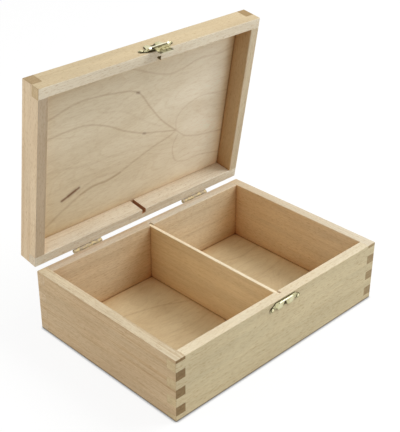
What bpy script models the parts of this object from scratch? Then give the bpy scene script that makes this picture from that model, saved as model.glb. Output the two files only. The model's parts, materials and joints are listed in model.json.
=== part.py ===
"""Wooden card box with a hinged lid, for Blender 4.5.

A finger-jointed base and lid of thin boards, with plywood panels let into their edges, a divider in dados,
two brass butt hinges at the back and a brass clasp at the front. Units are metres, +Z is up and -Y is the
front. The origin is the middle of the underside. Every piece is modelled with the lid shut, and the lid is
opened about its hinge axis at the end.
"""

import math

import bmesh
import bpy
from mathutils import Matrix, Vector

# Box, outside sizes
LENGTH = 0.1750
WIDTH = 0.1225
BASE_HEIGHT = 0.0420
LID_HEIGHT = 0.0148
WALL = 0.0070
LID_OPENING = math.radians(81.1)

# Finger joints, laid out on the whole box before it is sawn into base and lid
FINGER = 0.0060
FIRST_FINGER = 0.0040
SAW_CUT = 0.0040

# Panels and divider
PANEL = 0.0020
REBATE = 0.0035
DIVIDER = 0.0027
DADO_DEPTH = 0.0030
DADO_CLEARANCE = 0.0002
DIVIDER_DROP = 0.0008

# Clearances
WOOD_GAP = 0.0003
METAL_GAP = 0.0001
RUN = 0.0002
PIN_PLAY = 0.00006

# Butt hinges
HINGE_INSET = 0.0405
HINGE_WIDTH = 0.0220
HINGE_OUT = 0.0015
LEAF_REACH = 0.0078
LEAF = 0.0007
LEAF_CORNER = 0.0010
BARREL_RADIUS = 0.0013
HINGE_PIN_RADIUS = 0.0006
KNUCKLES = 5
LEAF_NAIL_INSET = 0.0040
LEAF_NAIL_REACH = 0.0048

# Nails, with the rings of the domed head given as shares of its radius and height
NAIL_HEAD_RADIUS = 0.0010
NAIL_HEAD = 0.00035
NAIL_DOME = ((0.55, 0.85), (0.90, 0.45))
NAIL_RADIUS = 0.0004
NAIL_LENGTH = 0.0045
NAIL_HOLE_PLAY = 0.0001

# Clasp plates, with heights counted from the seam between base and lid
CLASP_PLATE = 0.0006
PLATE_EDGE = 0.0011
PLATE_HALF_WIDTH = 0.0084
ARM_SPREAD = 0.0101
EAR_RADIUS = 0.0019
CLASP_NAIL_SPREAD = 0.0112
LOBE_SPREAD = 0.0056
KEEPER_NAIL_HEIGHT = 0.0046
KEEPER_LOBE = 0.0069
KEEPER_NOTCH = 0.0056
LID_PLATE_NAIL_HEIGHT = 0.0037
LID_PLATE_LOBE = 0.0082
LID_PLATE_NOTCH = 0.0069

# Clasp flap, its pin and the lip that it hooks under
FLAP_WIDTH = 0.0118
FLAP_END_WIDTH = 0.0102
FLAP_LENGTH = 0.0074
FLAP_SHEET = 0.0006
FLAP_AXIS_HEIGHT = 0.0014
FLAP_KNUCKLE_RADIUS = 0.00085
FLAP_STAND = 0.0006
FLAP_PIN_RADIUS = 0.0004
FLAP_FLARE = 0.0006
FLAP_EYE_RADIUS = 0.0006
FLAP_EYE_SPREAD = 0.0042
FLAP_EYE_INSET = 0.0013
LUG_WIDTH = 0.0019
LIP_WIDTH = 0.0118
LIP_LOW = 0.0026
LIP_RAISE = 0.0013
HOOK_SWING = math.radians(4.5)

# Facets
BARREL_SIDES = 20
NAIL_SIDES = 12
CORNER_STEPS = 4
CURVE_STEPS = 5

# Worked out from the sizes above
MARGIN = 0.005
WHOLE_HEIGHT = BASE_HEIGHT + SAW_CUT + LID_HEIGHT
LID_BOTTOM = BASE_HEIGHT + WOOD_GAP
LID_TOP = LID_BOTTOM + LID_HEIGHT
SEAM = BASE_HEIGHT + WOOD_GAP / 2
FRONT = -WIDTH / 2
BACK = WIDTH / 2
HINGE_AXIS = Vector((0, BACK + HINGE_OUT, SEAM))
PLATE_FACE = METAL_GAP + CLASP_PLATE
FLAP_AXIS_RAISE = PLATE_FACE + FLAP_STAND + FLAP_KNUCKLE_RADIUS
FLAP_AXIS = Vector((0, FRONT - FLAP_AXIS_RAISE, SEAM + FLAP_AXIS_HEIGHT))
LIP_BACK = METAL_GAP + CLASP_PLATE / 4
LIP_RADIUS = (LIP_RAISE - LIP_BACK) / 2

# Colours, roughness and metallic value
BOARD = ((0.53, 0.41, 0.24), 0.62, 0.0)
END_BOARD = ((0.50, 0.37, 0.22), 0.62, 0.0)
PLYWOOD = ((0.55, 0.41, 0.25), 0.60, 0.0)
STRIP = ((0.68, 0.53, 0.33), 0.60, 0.0)
BRASS = ((0.72, 0.60, 0.33), 0.28, 1.0)
STEEL = ((0.56, 0.50, 0.36), 0.35, 1.0)

for old in list(bpy.data.objects):
    bpy.data.objects.remove(old, do_unlink=True)

PARTS = bpy.data.collections.new("wooden_card_box")
CUTTERS = bpy.data.collections.new("cutters")
for collection in (PARTS, CUTTERS):
    bpy.context.scene.collection.children.link(collection)
CUTTERS.hide_render = True


def axis_empty(name, place, carrier=None):
    """An empty on a joint's axis, which carries the pieces that turn about it."""
    empty = bpy.data.objects.new(name, None)
    empty.empty_display_size = WALL
    empty.location = place
    PARTS.objects.link(empty)
    empty["shut_place"] = place
    carry(empty, carrier)
    return empty


def carry(obj, carrier):
    """Parents a piece to an axis empty, with the piece's own place still given for the shut box."""
    if carrier:
        obj.parent = carrier
        obj.matrix_parent_inverse = Matrix.Translation(-Vector(carrier["shut_place"]))


def add_piece(name, mesh, look, place=(0, 0, 0), turn=0.0, carrier=None):
    """A named solid at its place, turned about X, with a material of its own."""
    obj = bpy.data.objects.new(name, mesh)
    obj.location = place
    obj.rotation_euler.x = turn
    PARTS.objects.link(obj)
    carry(obj, carrier)
    colour, roughness, metallic = look
    material = bpy.data.materials.new(name)
    material.use_nodes = True
    surface = material.node_tree.nodes["Principled BSDF"]
    surface.inputs["Base Color"].default_value = (*colour, 1)
    surface.inputs["Roughness"].default_value = roughness
    surface.inputs["Metallic"].default_value = metallic
    material.diffuse_color = (*colour, 1)
    if not mesh.materials:
        mesh.materials.append(None)
    obj.material_slots[0].link = "OBJECT"
    obj.material_slots[0].material = material
    return obj


def add_helper(name, mesh, place=(0, 0, 0), turn=0.0, carrier=None):
    """A shape that only cuts or joins, kept out of the render."""
    obj = bpy.data.objects.new(name, mesh)
    obj.location = place
    obj.rotation_euler.x = turn
    obj.hide_render = True
    obj.display_type = "WIRE"
    CUTTERS.objects.link(obj)
    carry(obj, carrier)
    return obj


def boolean(obj, other, operation="DIFFERENCE"):
    modifier = obj.modifiers.new(other.name, "BOOLEAN")
    modifier.operation = operation
    modifier.solver = "EXACT"
    modifier.object = other


def evaluated_mesh(obj, name):
    """The object's mesh with its modifiers or curve settings applied, and loose seams welded."""
    graph = bpy.context.evaluated_depsgraph_get()
    mesh = bpy.data.meshes.new_from_object(obj.evaluated_get(graph))
    mesh.name = name
    shape = bmesh.new()
    shape.from_mesh(mesh)
    bmesh.ops.remove_doubles(shape, verts=shape.verts, dist=1e-7)
    shape.to_mesh(mesh)
    shape.free()
    return mesh


def smooth(mesh, angle=35):
    mesh.shade_smooth()
    mesh.set_sharp_from_angle(angle=math.radians(angle))


def boxes_mesh(name, corners):
    """One mesh of separate boxes, each given by its low and high corner."""
    shape = bmesh.new()
    for low, high in corners:
        low = Vector(low)
        high = Vector(high)
        fit = Matrix.Translation((low + high) / 2) @ Matrix.Diagonal((*(high - low), 1))
        bmesh.ops.create_cube(shape, size=1, matrix=fit)
    mesh = bpy.data.meshes.new(name)
    shape.to_mesh(mesh)
    shape.free()
    return mesh


def rods_mesh(name, ends, radius, sides):
    """One mesh of separate round rods, each given by the middles of its two ends."""
    shape = bmesh.new()
    for start, end in ends:
        start = Vector(start)
        run = Vector(end) - start
        aim = run.to_track_quat("Z", "Y").to_matrix().to_4x4()
        bmesh.ops.create_cone(
            shape,
            cap_ends=True,
            segments=sides,
            radius1=radius,
            radius2=radius,
            depth=run.length,
            matrix=Matrix.Translation(start + run / 2) @ aim,
        )
    mesh = bpy.data.meshes.new(name)
    shape.to_mesh(mesh)
    shape.free()
    smooth(mesh)
    return mesh


# Finger joints


def finger_heights():
    """Heights on the whole box where one board's finger gives way to the other's."""
    heights = [FIRST_FINGER]
    while WHOLE_HEIGHT - heights[-1] > 1.5 * FINGER:
        heights.append(heights[-1] + FINGER)
    return heights


def other_fingers(low, high, end_board):
    """Stretches of height from low to high on the whole box that the neighbouring board's fingers fill.

    The long boards have the lowest finger, and the end boards the next one.
    """
    passed = sum(height <= low + WOOD_GAP for height in finger_heights())
    inside = [height for height in finger_heights() if low + WOOD_GAP < height < high - WOOD_GAP]
    edges = [low, *inside, high]
    stretches = []
    for index, (bottom, top) in enumerate(zip(edges, edges[1:])):
        end_boards_turn = (passed + index) % 2 == 1
        if end_boards_turn != end_board:
            bottom -= MARGIN if bottom == low else WOOD_GAP / 2
            top += MARGIN if top == high else WOOD_GAP / 2
            stretches.append((bottom, top))
    return stretches


def finger_cutter(name, low, high, shift, end_board, carrier=None):
    """Cuts the neighbours' fingers out of both ends of a board, for boards on both sides of the box."""
    half_length = LENGTH / 2
    half_width = WIDTH / 2
    corners = []
    for bottom, top in other_fingers(low, high, end_board):
        for side in (-1, 1):
            if end_board:
                ends = sorted((side * (half_width - WALL - WOOD_GAP), side * (half_width + MARGIN)))
                near = (-half_length - MARGIN, ends[0], bottom + shift)
                far = (half_length + MARGIN, ends[1], top + shift)
            else:
                ends = sorted((side * (half_length - WALL - WOOD_GAP), side * (half_length + MARGIN)))
                near = (ends[0], -half_width - MARGIN, bottom + shift)
                far = (ends[1], half_width + MARGIN, top + shift)
            corners.append((near, far))
    return add_helper(name, boxes_mesh(name, corners), carrier=carrier)


def frame_of_boards(name, bottom, top, cutters, carrier=None):
    """Four boards round the box between two heights, each cut by its fingers, the panel's seat and the dados."""
    inner_length = LENGTH / 2 - WALL
    inner_width = WIDTH / 2 - WALL
    boards = {}
    for side, face in (("front", -1), ("back", 1)):
        depths = sorted((face * inner_width, face * WIDTH / 2))
        corners = [((-LENGTH / 2, depths[0], bottom), (LENGTH / 2, depths[1], top))]
        board_name = f"{name}_{side}"
        boards[side] = add_piece(board_name, boxes_mesh(board_name, corners), BOARD, carrier=carrier)
        boolean(boards[side], cutters["long_fingers"])
        boolean(boards[side], cutters["panel_seat"])
        boolean(boards[side], cutters["dado"])
    for side, face in (("left", -1), ("right", 1)):
        depths = sorted((face * inner_length, face * LENGTH / 2))
        corners = [((depths[0], -WIDTH / 2, bottom), (depths[1], WIDTH / 2, top))]
        board_name = f"{name}_{side}"
        boards[side] = add_piece(board_name, boxes_mesh(board_name, corners), END_BOARD, carrier=carrier)
        boolean(boards[side], cutters["end_fingers"])
        boolean(boards[side], cutters["panel_seat"])
    return boards


def panel_corners(bottom, top, gap):
    """A panel let into the boards by the rebate, less a gap all round."""
    half_length = LENGTH / 2 - WALL + REBATE - gap
    half_width = WIDTH / 2 - WALL + REBATE - gap
    return [((-half_length, -half_width, bottom), (half_length, half_width, top))]


def dado_corners(bottom, top):
    """The straight slot across the box that holds the divider's two ends."""
    half_slot = DIVIDER / 2 + DADO_CLEARANCE
    reach = WIDTH / 2 - WALL + DADO_DEPTH
    return [((-half_slot, -reach, bottom), (half_slot, reach, top))]


def make_base():
    cutters = {
        "long_fingers": finger_cutter("base_long_fingers", 0, BASE_HEIGHT, 0, False),
        "end_fingers": finger_cutter("base_end_fingers", 0, BASE_HEIGHT, 0, True),
        "panel_seat": add_helper("floor_seat", boxes_mesh("floor_seat", panel_corners(-MARGIN, PANEL + WOOD_GAP, 0))),
        "dado": add_helper("base_dado", boxes_mesh("base_dado", dado_corners(PANEL / 2, BASE_HEIGHT + MARGIN))),
    }
    boards = frame_of_boards("base", 0, BASE_HEIGHT, cutters)
    add_piece("base_floor", boxes_mesh("base_floor", panel_corners(0, PANEL, WOOD_GAP)), PLYWOOD)
    reach = WIDTH / 2 - WALL + DADO_DEPTH - WOOD_GAP
    low = (-DIVIDER / 2, -reach, PANEL + WOOD_GAP)
    high = (DIVIDER / 2, reach, BASE_HEIGHT - DIVIDER_DROP)
    add_piece("divider", boxes_mesh("divider", [(low, high)]), STRIP)
    return boards


def make_lid(axis):
    lid_low = BASE_HEIGHT + SAW_CUT
    shift = LID_BOTTOM - lid_low
    seat = panel_corners(LID_TOP - PANEL - WOOD_GAP, LID_TOP + MARGIN, 0)
    dado = dado_corners(LID_BOTTOM - MARGIN, LID_TOP - PANEL / 2)
    cutters = {
        "long_fingers": finger_cutter("lid_long_fingers", lid_low, WHOLE_HEIGHT, shift, False, axis),
        "end_fingers": finger_cutter("lid_end_fingers", lid_low, WHOLE_HEIGHT, shift, True, axis),
        "panel_seat": add_helper("lid_panel_seat", boxes_mesh("lid_panel_seat", seat), carrier=axis),
        "dado": add_helper("lid_dado", boxes_mesh("lid_dado", dado), carrier=axis),
    }
    boards = frame_of_boards("lid", LID_BOTTOM, LID_TOP, cutters, axis)
    panel = boxes_mesh("lid_panel", panel_corners(LID_TOP - PANEL, LID_TOP, WOOD_GAP))
    add_piece("lid_panel", panel, PLYWOOD, carrier=axis)
    return boards


# Nails


def nail_mesh():
    """A domed nail turned about Z, with the underside of its head at the origin."""
    tip = 2 * NAIL_RADIUS
    profile = [
        (0, NAIL_HEAD),
        *((across * NAIL_HEAD_RADIUS, high * NAIL_HEAD) for across, high in NAIL_DOME),
        (NAIL_HEAD_RADIUS, 0),
        (NAIL_RADIUS, 0),
        (NAIL_RADIUS, tip - NAIL_LENGTH),
        (0, -NAIL_LENGTH),
    ]
    mesh = bpy.data.meshes.new("nail_profile")
    edges = [(index, index + 1) for index in range(len(profile) - 1)]
    mesh.from_pydata([(radius, 0, height) for radius, height in profile], edges, [])
    turned = add_helper("nail_profile", mesh)
    screw = turned.modifiers.new("turn", "SCREW")
    screw.axis = "Z"
    screw.angle = 2 * math.pi
    screw.steps = NAIL_SIDES
    screw.render_steps = NAIL_SIDES
    screw.use_merge_vertices = True
    screw.merge_threshold = 1e-6
    nail = evaluated_mesh(turned, "nail")
    smooth(nail, 50)
    bpy.data.objects.remove(turned)
    return nail


def drive_nails(spots, mesh, wood, facing, plate_face, look, carrier=None):
    """Nails through a plate into a board. Facing is -1 on the front and 1 on the back."""
    surface = facing * WIDTH / 2
    holes = []
    for name, (along, height) in spots.items():
        place = (along, surface + facing * (plate_face + METAL_GAP), height)
        add_piece(name, mesh, look, place, -facing * math.pi / 2, carrier)
        start = (along, surface + facing * MARGIN, height)
        end = (along, surface - facing * (NAIL_LENGTH - plate_face), height)
        holes.append((start, end))
    hole_name = f"{wood.name}_nail_holes"
    holes_mesh = rods_mesh(hole_name, holes, NAIL_RADIUS + NAIL_HOLE_PLAY, NAIL_SIDES)
    boolean(wood, add_helper(hole_name, holes_mesh, carrier=carrier))


# Hinges


def knuckle_stretches(lid_leaf):
    """Where along the hinge this leaf's knuckles lie. The base leaf has the first and the last."""
    pitch = (HINGE_WIDTH + RUN) / KNUCKLES
    start = -HINGE_WIDTH / 2
    own = range(1 if lid_leaf else 0, KNUCKLES, 2)
    return [(start + index * pitch, start + (index + 1) * pitch - RUN) for index in own]


def leaf_mesh(lid_leaf):
    """One leaf, with its origin on the hinge axis: a plate with rolled knuckles, cleared round the other's."""
    name = "lid_leaf" if lid_leaf else "base_leaf"
    up = 1 if lid_leaf else -1
    inner = METAL_GAP - HINGE_OUT
    heights = sorted((up * WOOD_GAP / 2, up * LEAF_REACH))
    low = (-HINGE_WIDTH / 2, inner, heights[0])
    high = (HINGE_WIDTH / 2, inner + LEAF, heights[1])
    plate = add_helper(name, boxes_mesh(name, [(low, high)]))
    round_corners(plate.data, up)

    own = [((start, 0, 0), (end, 0, 0)) for start, end in knuckle_stretches(lid_leaf)]
    others = [((start - RUN / 2, 0, 0), (end + RUN / 2, 0, 0)) for start, end in knuckle_stretches(not lid_leaf)]
    bore = [((-HINGE_WIDTH, 0, 0), (HINGE_WIDTH, 0, 0))]
    spread = HINGE_WIDTH / 2 - LEAF_NAIL_INSET
    reach = up * LEAF_NAIL_REACH
    holes = [((side * spread, -MARGIN, reach), (side * spread, MARGIN, reach)) for side in (-1, 1)]
    clear = BARREL_RADIUS + RUN
    helpers = [
        (rods_mesh(f"{name}_clearance", others, clear, BARREL_SIDES), "DIFFERENCE"),
        (rods_mesh(f"{name}_knuckles", own, BARREL_RADIUS, BARREL_SIDES), "UNION"),
        (rods_mesh(f"{name}_bore", bore, HINGE_PIN_RADIUS + PIN_PLAY, BARREL_SIDES), "DIFFERENCE"),
        (rods_mesh(f"{name}_holes", holes, NAIL_RADIUS + NAIL_HOLE_PLAY, NAIL_SIDES), "DIFFERENCE"),
    ]
    for mesh, operation in helpers:
        boolean(plate, add_helper(mesh.name, mesh), operation)
    leaf = evaluated_mesh(plate, name)
    smooth(leaf)
    for helper in [plate, *(bpy.data.objects[mesh.name] for mesh, _ in helpers)]:
        bpy.data.objects.remove(helper)
    return leaf


def round_corners(mesh, up):
    """Rounds the two corners of a leaf's free edge."""
    shape = bmesh.new()
    shape.from_mesh(mesh)
    free = max(up * vert.co.z for vert in shape.verts)
    corners = []
    for edge in shape.edges:
        ends = edge.verts
        along_y = abs(ends[0].co.y - ends[1].co.y) > LEAF / 2
        if along_y and all(up * vert.co.z > free - LEAF / 2 for vert in ends):
            corners.append(edge)
    bmesh.ops.bevel(shape, geom=corners, offset=LEAF_CORNER, segments=CORNER_STEPS, affect="EDGES")
    shape.to_mesh(mesh)
    shape.free()


def make_hinges(axis, base_back, lid_back, nail):
    leaves = {False: leaf_mesh(False), True: leaf_mesh(True)}
    pin_ends = [((-HINGE_WIDTH / 2, 0, 0), (HINGE_WIDTH / 2, 0, 0))]
    pin = rods_mesh("hinge_pin", pin_ends, HINGE_PIN_RADIUS, BARREL_SIDES)
    spots = {False: {}, True: {}}
    for side, sign in (("left", -1), ("right", 1)):
        place = HINGE_AXIS + Vector((sign * (LENGTH / 2 - HINGE_INSET), 0, 0))
        add_piece(f"hinge_{side}_base_leaf", leaves[False], BRASS, place)
        add_piece(f"hinge_{side}_lid_leaf", leaves[True], BRASS, place, carrier=axis)
        add_piece(f"hinge_{side}_pin", pin, STEEL, place)
        for lid_leaf in (False, True):
            leaf = "lid" if lid_leaf else "base"
            height = SEAM + (LEAF_NAIL_REACH if lid_leaf else -LEAF_NAIL_REACH)
            for number, end in ((1, -1), (2, 1)):
                name = f"hinge_{side}_{leaf}_nail_{number}"
                spots[lid_leaf][name] = (place.x + end * (HINGE_WIDTH / 2 - LEAF_NAIL_INSET), height)
    face = METAL_GAP + LEAF
    drive_nails(spots[False], nail, base_back, 1, face, BRASS)
    drive_nails(spots[True], nail, lid_back, 1, face, BRASS, axis)


# Clasp: its pieces are drawn along u, up v and out from the wood w, and stand up by a quarter turn about X


def wing_plate(name, up, nail_height, lobe, notch):
    """A thin plate with a straight edge by the seam, an ear at each end and two lobes with a notch between."""
    half = [
        (PLATE_HALF_WIDTH, PLATE_EDGE, "VECTOR"),
        (ARM_SPREAD, nail_height / 2, "AUTO"),
        (CLASP_NAIL_SPREAD + EAR_RADIUS, nail_height, "AUTO"),
        (CLASP_NAIL_SPREAD, nail_height + EAR_RADIUS, "AUTO"),
        ((CLASP_NAIL_SPREAD + LOBE_SPREAD) / 2, nail_height, "AUTO"),
        (LOBE_SPREAD, lobe, "AUTO"),
    ]
    other_half = [(-along, height, handle) for along, height, handle in reversed(half)]
    outline = [*half, (0, notch, "VECTOR"), *other_half]
    curve = bpy.data.curves.new(name, "CURVE")
    curve.dimensions = "2D"
    curve.resolution_u = CURVE_STEPS
    spline = curve.splines.new("BEZIER")
    spline.bezier_points.add(len(outline) - 1)
    spline.use_cyclic_u = True
    for point, (along, height, handle) in zip(spline.bezier_points, outline):
        point.co = (along, up * height, 0)
        point.handle_left_type = handle
        point.handle_right_type = handle
    drawn = add_helper(f"{name}_outline", curve)
    rim = evaluated_mesh(drawn, f"{name}_rim")
    bpy.data.objects.remove(drawn)
    shape = bmesh.new()
    back = [shape.verts.new((*vert.co.xy, METAL_GAP)) for vert in rim.vertices]
    face = [shape.verts.new((*vert.co.xy, PLATE_FACE)) for vert in rim.vertices]
    shape.faces.new(back)
    shape.faces.new(face)
    for index in range(len(back)):
        shape.faces.new((back[index - 1], back[index], face[index], face[index - 1]))
    bmesh.ops.recalc_face_normals(shape, faces=shape.faces)
    mesh = bpy.data.meshes.new(name)
    shape.to_mesh(mesh)
    shape.free()
    return mesh


def nail_holes(name, height, carrier=None):
    ends = []
    for side in (-1, 1):
        along = side * CLASP_NAIL_SPREAD
        ends.append(((along, height, -MARGIN), (along, height, MARGIN)))
    mesh = rods_mesh(name, ends, NAIL_RADIUS + NAIL_HOLE_PLAY, NAIL_SIDES)
    return add_helper(name, mesh, (0, FRONT, SEAM), math.pi / 2, carrier)


def make_keeper():
    """The plate on the base, with the round lip that the flap hooks under."""
    place = (0, FRONT, SEAM)
    mesh = wing_plate("clasp_keeper", -1, KEEPER_NAIL_HEIGHT, KEEPER_LOBE, KEEPER_NOTCH)
    keeper = add_piece("clasp_keeper", mesh, BRASS, place, math.pi / 2)
    height = LIP_RADIUS - LIP_LOW
    raised = LIP_BACK + LIP_RADIUS
    ends = [((-LIP_WIDTH / 2, height, raised), (LIP_WIDTH / 2, height, raised))]
    lip_mesh = rods_mesh("keeper_lip", ends, LIP_RADIUS, BARREL_SIDES)
    lip = add_helper("keeper_lip", lip_mesh, place, math.pi / 2)
    rounding = lip.modifiers.new("rounded ends", "BEVEL")
    rounding.width = LIP_RADIUS / 2
    rounding.segments = 2
    rounding.limit_method = "ANGLE"
    rounding.angle_limit = math.radians(60)
    boolean(keeper, lip, "UNION")
    boolean(keeper, nail_holes("keeper_nail_holes", -KEEPER_NAIL_HEIGHT))
    return keeper


def make_lid_plate(axis):
    """The plate on the lid, with a lug and a rolled knuckle at each end of the flap."""
    place = (0, FRONT, SEAM)
    mesh = wing_plate("clasp_lid_plate", 1, LID_PLATE_NAIL_HEIGHT, LID_PLATE_LOBE, LID_PLATE_NOTCH)
    plate = add_piece("clasp_lid_plate", mesh, BRASS, place, math.pi / 2, axis)
    inner = FLAP_WIDTH / 2 + RUN
    outer = inner + LUG_WIDTH
    knuckles = []
    lugs = []
    for side in (-1, 1):
        span = sorted((side * inner, side * outer))
        knuckles.append(
            ((span[0], FLAP_AXIS_HEIGHT, FLAP_AXIS_RAISE), (span[1], FLAP_AXIS_HEIGHT, FLAP_AXIS_RAISE))
        )
        low = (span[0], FLAP_AXIS_HEIGHT, METAL_GAP + CLASP_PLATE / 2)
        high = (span[1], FLAP_AXIS_HEIGHT + FLAP_KNUCKLE_RADIUS, FLAP_AXIS_RAISE)
        lugs.append((low, high))
    bore = [((-LENGTH, FLAP_AXIS_HEIGHT, FLAP_AXIS_RAISE), (LENGTH, FLAP_AXIS_HEIGHT, FLAP_AXIS_RAISE))]
    helpers = [
        (boxes_mesh("lid_plate_lugs", lugs), "UNION"),
        (rods_mesh("lid_plate_knuckles", knuckles, FLAP_KNUCKLE_RADIUS, BARREL_SIDES), "UNION"),
        (rods_mesh("lid_plate_bore", bore, FLAP_PIN_RADIUS + PIN_PLAY, BARREL_SIDES), "DIFFERENCE"),
    ]
    for mesh, operation in helpers:
        boolean(plate, add_helper(mesh.name, mesh, place, math.pi / 2, axis), operation)
    boolean(plate, nail_holes("lid_plate_nail_holes", LID_PLATE_NAIL_HEIGHT, axis))
    ends = [((-outer - RUN, 0, 0), (outer + RUN, 0, 0))]
    pin = rods_mesh("clasp_pin", ends, FLAP_PIN_RADIUS, BARREL_SIDES)
    add_piece("clasp_pin", pin, STEEL, FLAP_AXIS, math.pi / 2, axis)


def make_flap(flap_axis):
    """The flap: a tapering sheet rolled round the pin, with a bead that hooks under the lip and a flared end."""
    start_rise = FLAP_KNUCKLE_RADIUS - FLAP_SHEET / 2
    lip_reach = FLAP_AXIS_HEIGHT + LIP_LOW
    bead_reach = lip_reach + RUN + FLAP_SHEET
    bead_rise = LIP_RAISE + RUN + FLAP_SHEET / 2 - FLAP_AXIS_RAISE
    lip_rise = bead_rise + lip_reach * math.sin(HOOK_SWING)
    path = [
        (0, start_rise),
        (lip_reach / 2, (start_rise + lip_rise) / 2 + FLAP_SHEET / 4),
        (lip_reach, lip_rise),
        (bead_reach, bead_rise),
        (bead_reach + FLAP_SHEET, bead_rise + FLAP_SHEET / 4),
        (FLAP_LENGTH, bead_rise + FLAP_FLARE),
    ]
    shape = bmesh.new()
    verts = []
    for reach, rise in path:
        taper = reach / FLAP_LENGTH
        width = FLAP_WIDTH * (1 - taper) + FLAP_END_WIDTH * taper
        verts.append([shape.verts.new((side * width / 2, -reach, rise)) for side in (-1, 1)])
    for (left, right), (next_left, next_right) in zip(verts, verts[1:]):
        shape.faces.new((left, next_left, next_right, right))
    mesh = bpy.data.meshes.new("clasp_flap")
    shape.to_mesh(mesh)
    shape.free()
    flap = add_piece("clasp_flap", mesh, BRASS, FLAP_AXIS, math.pi / 2, flap_axis)
    sheet = flap.modifiers.new("sheet", "SOLIDIFY")
    sheet.thickness = FLAP_SHEET
    sheet.offset = 0
    sheet.use_even_offset = True
    rounding = flap.modifiers.new("corners", "BEVEL")
    rounding.width = FLAP_SHEET / 4
    rounding.segments = 1
    rounding.limit_method = "ANGLE"
    rounding.angle_limit = math.radians(60)

    barrel = [((-FLAP_WIDTH / 2, 0, 0), (FLAP_WIDTH / 2, 0, 0))]
    bore = [((-LENGTH, 0, 0), (LENGTH, 0, 0))]
    eyes = []
    for side in (-1, 1):
        along = side * FLAP_EYE_SPREAD
        reach = FLAP_LENGTH - FLAP_EYE_INSET
        eyes.append(((along, -reach, -MARGIN), (along, -reach, MARGIN)))
    helpers = [
        (rods_mesh("flap_barrel", barrel, FLAP_KNUCKLE_RADIUS, BARREL_SIDES), "UNION"),
        (rods_mesh("flap_bore", bore, FLAP_PIN_RADIUS + PIN_PLAY, BARREL_SIDES), "DIFFERENCE"),
        (rods_mesh("flap_eyes", eyes, FLAP_EYE_RADIUS, NAIL_SIDES), "DIFFERENCE"),
    ]
    for helper, operation in helpers:
        boolean(flap, add_helper(helper.name, helper, FLAP_AXIS, math.pi / 2, flap_axis), operation)


def clasp_spots(owner, height):
    return {f"{owner}_nail_{number}": (side * CLASP_NAIL_SPREAD, SEAM + height) for number, side in ((1, -1), (2, 1))}


lid_axis = axis_empty("lid_axis", HINGE_AXIS)
flap_axis = axis_empty("flap_axis", FLAP_AXIS, lid_axis)

base_boards = make_base()
lid_boards = make_lid(lid_axis)
nail = nail_mesh()
make_hinges(lid_axis, base_boards["back"], lid_boards["back"], nail)
make_keeper()
make_lid_plate(lid_axis)
make_flap(flap_axis)
drive_nails(clasp_spots("clasp_keeper", -KEEPER_NAIL_HEIGHT), nail, base_boards["front"], -1, PLATE_FACE, BRASS)
lid_plate_spots = clasp_spots("clasp_lid_plate", LID_PLATE_NAIL_HEIGHT)
drive_nails(lid_plate_spots, nail, lid_boards["front"], -1, PLATE_FACE, BRASS, lid_axis)

lid_axis.rotation_euler.x = -LID_OPENING
bpy.context.view_layer.update()
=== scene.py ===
"""Dressed scene of the wooden card box, for Blender 4.5.

The boards, the panels and the divider replace their CAD nodes with tight joints, eased edges and wood that is
grained along each piece. The clasp's plates and flap are stamped and rolled sheets. The hinges, the nails and
the clasp's pin keep their CAD shapes. Sizes are in metres unless a heading says otherwise.
"""

import json
import math

import bmesh
import bpy
import numpy as np
from mathutils import Euler, Matrix, Vector


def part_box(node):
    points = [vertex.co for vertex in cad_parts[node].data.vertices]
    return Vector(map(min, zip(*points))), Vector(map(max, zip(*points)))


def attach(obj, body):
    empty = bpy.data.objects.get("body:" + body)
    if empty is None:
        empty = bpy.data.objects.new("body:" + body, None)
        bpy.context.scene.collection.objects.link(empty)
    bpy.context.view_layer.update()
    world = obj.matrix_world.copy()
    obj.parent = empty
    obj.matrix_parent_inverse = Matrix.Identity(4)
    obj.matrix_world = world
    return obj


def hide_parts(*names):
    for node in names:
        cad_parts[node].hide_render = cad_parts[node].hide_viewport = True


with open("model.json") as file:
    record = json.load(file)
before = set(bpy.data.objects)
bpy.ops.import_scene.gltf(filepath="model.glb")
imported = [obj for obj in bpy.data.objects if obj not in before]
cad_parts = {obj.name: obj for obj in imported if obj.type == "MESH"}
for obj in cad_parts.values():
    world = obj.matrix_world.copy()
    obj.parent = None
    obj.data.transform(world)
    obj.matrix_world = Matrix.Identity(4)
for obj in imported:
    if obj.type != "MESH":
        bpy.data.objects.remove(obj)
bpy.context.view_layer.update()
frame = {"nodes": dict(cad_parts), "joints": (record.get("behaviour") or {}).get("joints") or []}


MM = 0.001
PER_METRE = 1000.0

# The open lid: everything on it is drawn with the lid shut, and turned about the hinge axis into place

JOINTS = {joint["name"]: joint for joint in frame["joints"]}
LID_JOINT = JOINTS["lid_hinge"]
HINGE_AXIS = Vector(LID_JOINT["pos_m"])
OPEN_ANGLE = math.radians(LID_JOINT["range_deg"][0])
OPEN = Matrix.Translation(HINGE_AXIS) @ Matrix.Rotation(OPEN_ANGLE, 4, "X") @ Matrix.Translation(-HINGE_AXIS)
SHUT = OPEN.inverted()


def shut_box(node):
    """Lowest and highest corner of a lid node when the lid is shut."""
    points = [SHUT @ vert.co for vert in frame["nodes"][node].data.vertices]
    low = Vector([min(point[axis] for point in points) for axis in range(3)])
    high = Vector([max(point[axis] for point in points) for axis in range(3)])
    return low, high


# Sizes read from the CAD boards

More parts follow.
